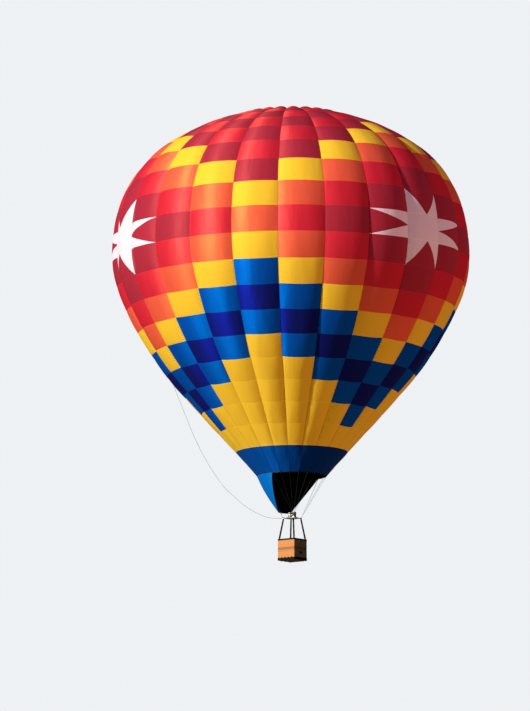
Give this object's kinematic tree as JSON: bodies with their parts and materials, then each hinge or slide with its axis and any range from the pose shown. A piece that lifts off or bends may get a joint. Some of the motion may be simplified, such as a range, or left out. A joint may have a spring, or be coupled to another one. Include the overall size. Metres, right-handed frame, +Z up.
{
  "type": "hot air balloon",
  "caption": "Hot air balloon with a gored patchwork envelope, scoop, swivelling double burner and wicker basket.",
  "frame": {"origin": "on the envelope's upright axis, at its widest level, where the air carries it", "axes": "+Z up along the axis, towards the crown; -Y towards the side with the crown line's free run on its left"},
  "size_m": [18.1742, 18.1742, 23.0884],
  "materials": {
    "envelope_fabric": "coated ripstop, satin sheen",
    "navy_fabric": "heat resistant weave, matt",
    "blue_fabric": "coated ripstop, satin sheen",
    "webbing": "woven tape",
    "rope": "braided",
    "steel": "brushed",
    "brass": "machined",
    "cylinder_metal": "satin",
    "wicker": "woven willow, varnished",
    "dark_leather": "padded suede",
    "plywood": "varnished ply",
    "ash_wood": "oiled"
  },
  "bodies": {
    "balloon": {"gore_01": "envelope_fabric", "gore_02": "envelope_fabric", "gore_03": "envelope_fabric", "gore_04": "envelope_fabric", "gore_05": "envelope_fabric", "gore_06": "envelope_fabric", "gore_07": "envelope_fabric", "gore_08": "envelope_fabric", "gore_09": "envelope_fabric", "gore_10": "envelope_fabric", "gore_11": "envelope_fabric", "gore_12": "envelope_fabric", "gore_13": "envelope_fabric", "gore_14": "envelope_fabric", "gore_15": "envelope_fabric", "gore_16": "envelope_fabric", "gore_17": "envelope_fabric", "gore_18": "envelope_fabric", "gore_19": "envelope_fabric", "gore_20": "envelope_fabric", "gore_21": "envelope_fabric", "gore_22": "envelope_fabric", "gore_23": "envelope_fabric", "gore_24": "envelope_fabric", "mouth_band": "navy_fabric", "scoop": "blue_fabric", "crown_tapes": "webbing", "flying_wires_near": "steel", "flying_wires_right": "steel", "flying_wires_back": "steel", "flying_wires_left": "steel", "crown_line": "rope", "wall_scoop_side": "wicker", "wall_left": "wicker", "wall_step_side": "wicker", "wall_right": "wicker", "basket_rim": "dark_leather", "basket_floor": "plywood", "scuff_band": "dark_leather", "runner_1": "ash_wood", "runner_2": "ash_wood", "runner_3": "ash_wood", "upright_near": "dark_leather", "upright_right": "dark_leather", "upright_back": "dark_leather", "upright_left": "dark_leather", "fuel_cylinder_near": "cylinder_metal", "fuel_cylinder_right": "cylinder_metal", "fuel_cylinder_back": "cylinder_metal", "fuel_cylinder_left": "cylinder_metal", "burner_frame": "steel"},
    "vent_valve": {"parachute_valve": "envelope_fabric"},
    "gimbal": {"gimbal_ring": "steel"},
    "burner": {"burner_base": "brass", "burner_can_a": "steel", "burner_coil_a": "steel", "burner_can_b": "steel", "burner_coil_b": "steel"}
  },
  "joints": [
    {"name": "vent_slide", "type": "slide", "parent": "balloon", "child": "vent_valve", "axis": [0, 0, -1], "range_m": [0, 1.1], "stiffness_N_per_m": 120, "springref_m": -1},
    {"name": "gimbal_roll", "type": "hinge", "parent": "balloon", "child": "gimbal", "pos_m": [0, 0, -13.46], "axis": [0.6074, 0.7944, 0], "range_deg": [-12, 12]},
    {"name": "burner_pitch", "type": "hinge", "parent": "gimbal", "child": "burner", "pos_m": [0, 0, -13.46], "axis": [0.7944, -0.6074, 0], "range_deg": [-12, 12]}
  ]
}
